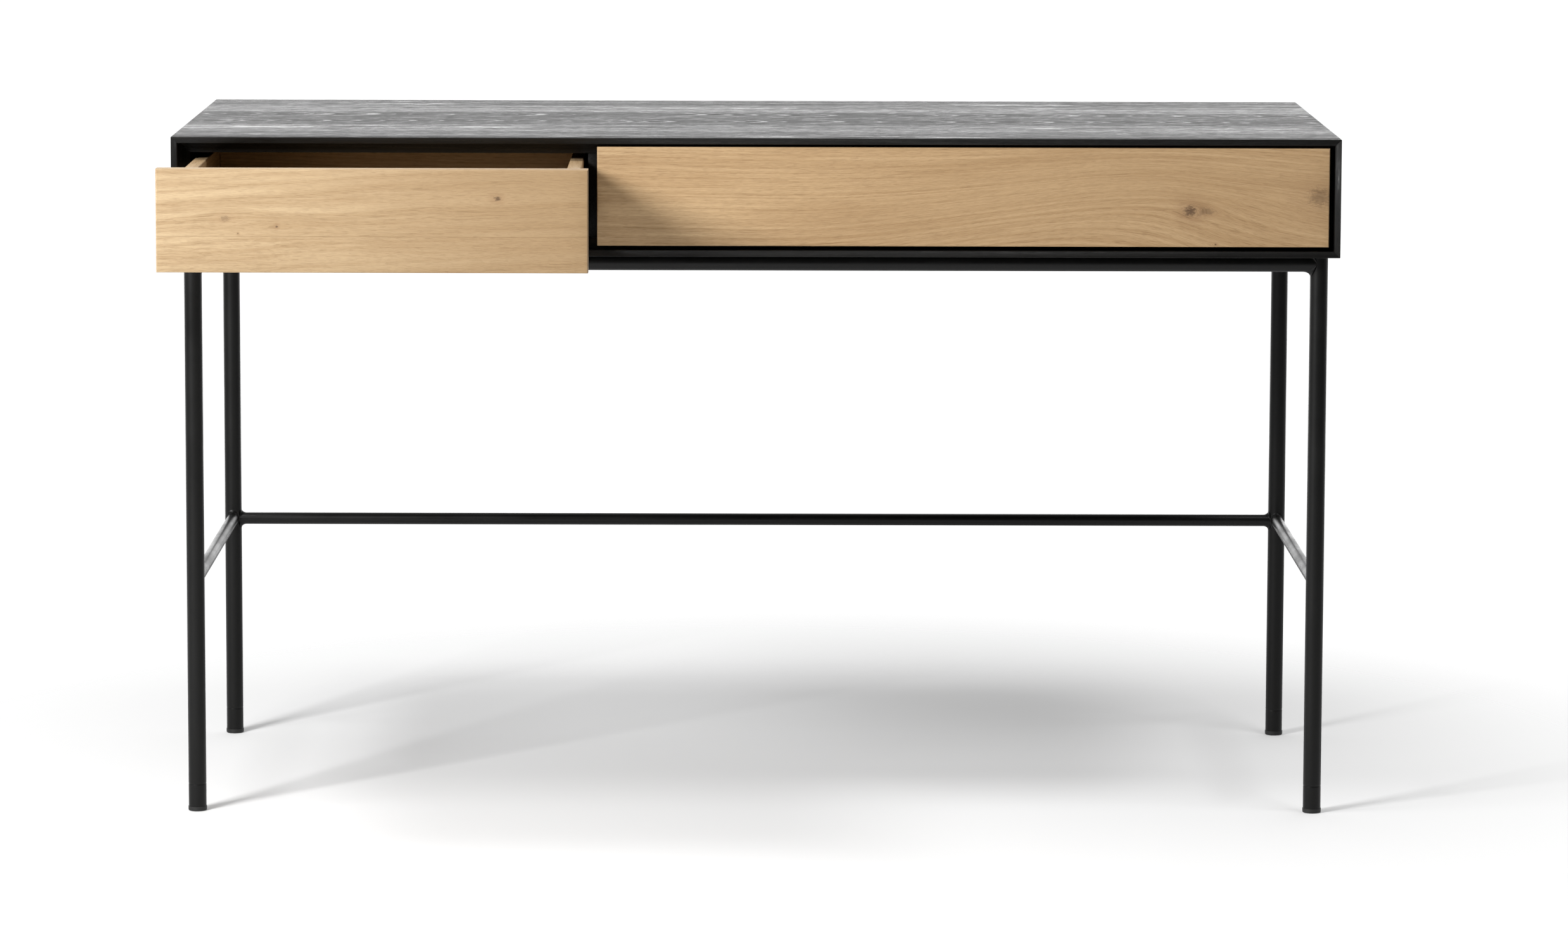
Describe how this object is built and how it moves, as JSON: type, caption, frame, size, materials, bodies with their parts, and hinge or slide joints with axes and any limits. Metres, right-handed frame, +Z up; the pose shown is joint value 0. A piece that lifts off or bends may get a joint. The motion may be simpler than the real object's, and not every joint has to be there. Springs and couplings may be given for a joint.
{
  "type": "writing desk with drawers",
  "caption": "Writing desk with a thin mitred black casing, flush oak drawers on hidden runners and a slender welded steel tube frame.",
  "frame": {"origin": "on the floor, in the middle of the desk's width, midway between the back edge of the casing and the front of the left drawer as it stands open", "axes": "+X along the desk to the sitter's right, +Y from the front to the back, +Z up"},
  "size_m": [1.3, 0.92, 0.765],
  "materials": {
    "black_stained_oak": "satin, open pores",
    "black_back_panel": "matte",
    "beech": "bare",
    "black_steel": "satin powder coat",
    "black_plastic": "matte",
    "black_screws": "black oxide",
    "zinc_screws": "zinc plated",
    "zinc_steel": "galvanised",
    "nylon": "matte",
    "grey_plastic": "matte",
    "oak_plywood": "matte lacquer",
    "oak_front": "matte oil",
    "oak_box": "matte lacquer"
  },
  "bodies": {
    "desk_frame": {"casing_top": "black_stained_oak", "casing_bottom": "black_stained_oak", "casing_left_side": "black_stained_oak", "casing_right_side": "black_stained_oak", "casing_divider": "black_stained_oak", "casing_back_panel": "black_back_panel", "mitre_biscuits": "beech", "divider_dowels": "beech", "leg_front_left": "black_steel", "leg_front_right": "black_steel", "leg_back_left": "black_steel", "leg_back_right": "black_steel", "glide_front_left": "black_plastic", "glide_front_right": "black_plastic", "glide_back_left": "black_plastic", "glide_back_right": "black_plastic", "top_rail_front": "black_steel", "top_rail_back": "black_steel", "top_rail_left": "black_steel", "top_rail_right": "black_steel", "stretcher_left": "black_steel", "stretcher_right": "black_steel", "stretcher_back": "black_steel", "fixing_tabs": "black_steel", "frame_screws": "black_screws", "runner_screws": "zinc_screws", "left_bay_cabinet_rail_left": "zinc_steel", "left_bay_cabinet_rail_right": "zinc_steel", "right_bay_cabinet_rail_left": "zinc_steel", "right_bay_cabinet_rail_right": "zinc_steel"},
    "left_middle_rails": {"left_bay_middle_rail_left": "zinc_steel", "left_bay_middle_rail_right": "zinc_steel", "left_bay_rollers": "nylon"},
    "left_drawer": {"left_drawer_front": "oak_front", "left_drawer_left_side": "oak_box", "left_drawer_right_side": "oak_box", "left_drawer_back": "oak_box", "left_drawer_bottom": "oak_plywood", "left_drawer_rail_left": "zinc_steel", "left_drawer_rail_right": "zinc_steel", "left_drawer_dowels": "beech", "left_drawer_clips": "grey_plastic", "left_drawer_clip_screws": "zinc_screws"},
    "right_middle_rails": {"right_bay_middle_rail_left": "zinc_steel", "right_bay_middle_rail_right": "zinc_steel", "right_bay_rollers": "nylon"},
    "right_drawer": {"right_drawer_front": "oak_front", "right_drawer_left_side": "oak_box", "right_drawer_right_side": "oak_box", "right_drawer_back": "oak_box", "right_drawer_bottom": "oak_plywood", "right_drawer_rail_left": "zinc_steel", "right_drawer_rail_right": "zinc_steel", "right_drawer_dowels": "beech", "right_drawer_clips": "grey_plastic", "right_drawer_clip_screws": "zinc_screws"}
  },
  "joints": [
    {"name": "left_drawer_slide", "type": "slide", "parent": "desk_frame", "child": "left_drawer", "axis": [0, -1, 0], "range_m": [-0.32, 0.12]},
    {"name": "left_middle_rail_slide", "type": "slide", "parent": "desk_frame", "child": "left_middle_rails", "axis": [0, -1, 0], "range_m": [-0.16, 0.06]},
    {"name": "right_drawer_slide", "type": "slide", "parent": "desk_frame", "child": "right_drawer", "axis": [0, -1, 0], "range_m": [0, 0.44]},
    {"name": "right_middle_rail_slide", "type": "slide", "parent": "desk_frame", "child": "right_middle_rails", "axis": [0, -1, 0], "range_m": [0, 0.22]}
  ],
  "couplings": [
    {"joint": "left_middle_rail_slide", "follows": "left_drawer_slide", "ratio": 0.5},
    {"joint": "right_middle_rail_slide", "follows": "right_drawer_slide", "ratio": 0.5}
  ]
}
